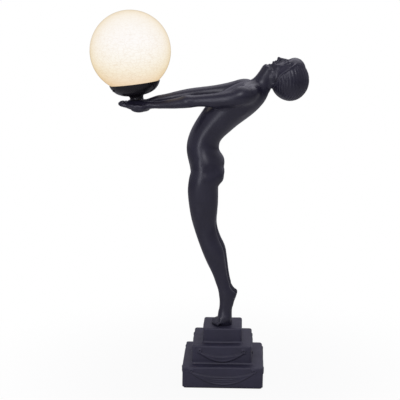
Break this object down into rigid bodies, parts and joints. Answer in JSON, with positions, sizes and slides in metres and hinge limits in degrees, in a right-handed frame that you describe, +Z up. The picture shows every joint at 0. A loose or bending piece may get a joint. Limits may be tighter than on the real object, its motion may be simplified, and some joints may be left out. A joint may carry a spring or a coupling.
{
  "type": "figural table lamp",
  "caption": "Table lamp: a slender black standing figure on a stepped square base arches back and holds a glass globe on her outstretched palms.",
  "frame": {"origin": "middle of the underside of the square base, on the felt pad's lower face", "axes": "+Z up; the figure faces -X, so the globe is towards -X and her head towards +X; -Y is her left side, the side seen in the picture; she is symmetric about Y = 0"},
  "size_m": [0.4052, 0.1559, 0.7016],
  "materials": {
    "resin_black": "satin",
    "ballast_iron": "matte",
    "plate_steel": "satin",
    "screw_steel": "satin",
    "felt": "matte",
    "rubber_black": "matte",
    "block_white": "satin",
    "lead_sleeve": "satin",
    "cup_black": "satin",
    "brass": "satin",
    "globe_glass": "satin",
    "holder_black": "satin",
    "bulb_glass": "gloss",
    "cap_metal": "satin",
    "insulator_glass": "gloss"
  },
  "bodies": {
    "stand": {"base_casting": "resin_black", "base_ballast": "ballast_iron", "cover_plate": "plate_steel", "cover_screw_1": "screw_steel", "cover_screw_2": "screw_steel", "cover_screw_3": "screw_steel", "cover_screw_4": "screw_steel", "ballast_screw_1": "screw_steel", "ballast_screw_2": "screw_steel", "felt_pad": "felt", "cable_grommet": "rubber_black", "terminal_block": "block_white", "block_screw_1": "screw_steel", "block_screw_2": "screw_steel", "foot_stud": "screw_steel", "foot_tube": "screw_steel", "stud_washer": "screw_steel", "tube_washer": "screw_steel", "stud_nut": "screw_steel", "tube_nut": "screw_steel", "figure_body": "resin_black", "figure_head": "resin_black", "arm_left": "resin_black", "arm_right": "resin_black", "neck_dowel": "screw_steel", "shoulder_dowel_left": "screw_steel", "shoulder_dowel_right": "screw_steel", "internal_lead": "lead_sleeve", "nipple_tube": "screw_steel", "cup_stem": "cup_black", "gallery_cup": "cup_black", "cup_locknut": "brass", "globe_gasket": "rubber_black", "holder_cap": "holder_black", "holder_body": "holder_black", "holder_contact": "brass", "screw_shell": "brass"},
    "globe": {"globe": "globe_glass"},
    "bulb": {"bulb_envelope": "bulb_glass", "bulb_cap": "cap_metal", "bulb_insulator": "insulator_glass", "bulb_contact": "cap_metal", "filament_stem": "bulb_glass"},
    "setscrew_1": {"setscrew_1": "screw_steel"},
    "setscrew_2": {"setscrew_2": "screw_steel"},
    "setscrew_3": {"setscrew_3": "screw_steel"}
  },
  "joints": [
    {"name": "globe_lift", "type": "slide", "parent": "stand", "child": "globe", "axis": [-0.1219, 0, 0.9925], "range_m": [0, 0.12]},
    {"name": "bulb_unscrew", "type": "slide", "parent": "stand", "child": "bulb", "axis": [-0.1219, 0, 0.9925], "range_m": [0, 0.03]},
    {"name": "setscrew_1_back_out", "type": "slide", "parent": "stand", "child": "setscrew_1", "axis": [0, 1, 0], "range_m": [0, 0.003]},
    {"name": "setscrew_2_back_out", "type": "slide", "parent": "stand", "child": "setscrew_2", "axis": [-0.8596, -0.5, -0.1055], "range_m": [0, 0.003]},
    {"name": "setscrew_3_back_out", "type": "slide", "parent": "stand", "child": "setscrew_3", "axis": [0.8596, -0.5, 0.1055], "range_m": [0, 0.003]}
  ]
}
